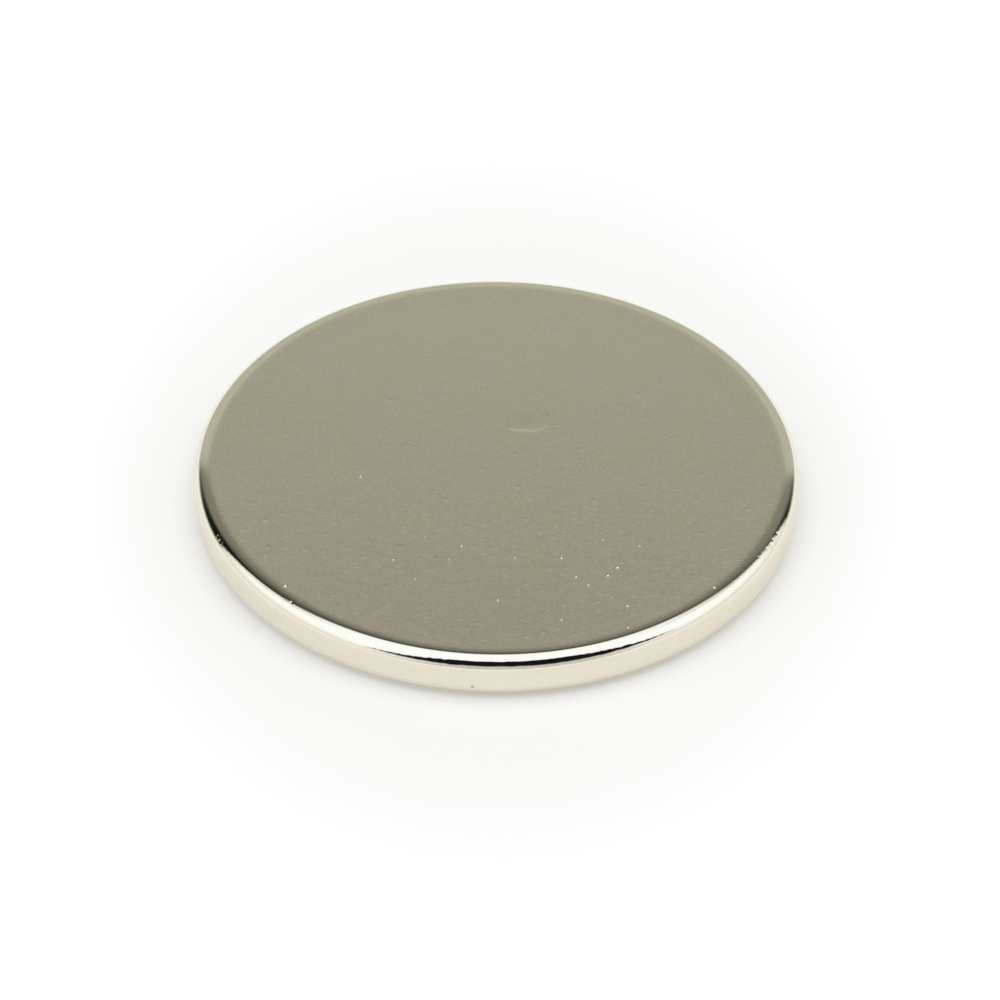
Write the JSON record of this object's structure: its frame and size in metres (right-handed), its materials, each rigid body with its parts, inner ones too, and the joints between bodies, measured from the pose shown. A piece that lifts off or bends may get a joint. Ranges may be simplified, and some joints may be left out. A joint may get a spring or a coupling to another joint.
{
  "type": "disc magnet",
  "caption": "Flat round disc magnet with plain polished faces and a small rounded edge between each face and the rim.",
  "frame": {"origin": "middle of the lower pole face, on the surface that the disc lies on", "axes": "+Z through the thickness, square to both pole faces and out of the upper one; X and Y lie across the disc and are interchangeable"},
  "size_m": [0.025, 0.025, 0.002],
  "materials": {
    "nickel_plating": "bright nickel plating, slightly satin on the faces, with fine pits and handling marks"
  },
  "bodies": {
    "root": {"magnet_disc": "nickel_plating"}
  },
  "joints": []
}
